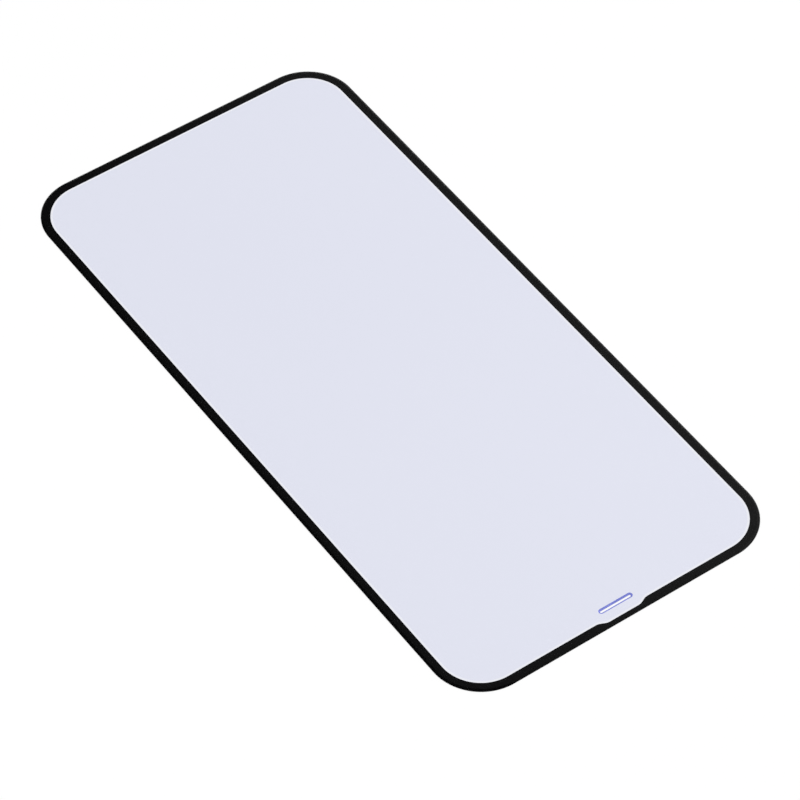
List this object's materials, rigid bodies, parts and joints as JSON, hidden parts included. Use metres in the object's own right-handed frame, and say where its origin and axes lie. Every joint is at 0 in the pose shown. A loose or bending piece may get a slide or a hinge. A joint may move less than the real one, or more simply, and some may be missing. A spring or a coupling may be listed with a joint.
{
  "type": "phone screen protector",
  "caption": "Thin toughened-glass sheet with rounded corners, a rounded rim, a black printed border and a bevelled earpiece slot, laid over a phone's screen to protect it.",
  "frame": {"origin": "centre of the back, the flat face that lies on the phone's screen", "axes": "+Z out through the glass towards the user, +Y along the sheet away from the earpiece slot, +X across it"},
  "size_m": [0.069, 0.1446, 0.0003],
  "materials": {
    "clear_glass": "polished",
    "border_ink": "gloss through the glass"
  },
  "bodies": {
    "root": {"glass_panel": "clear_glass", "printed_border": "border_ink"}
  },
  "joints": []
}
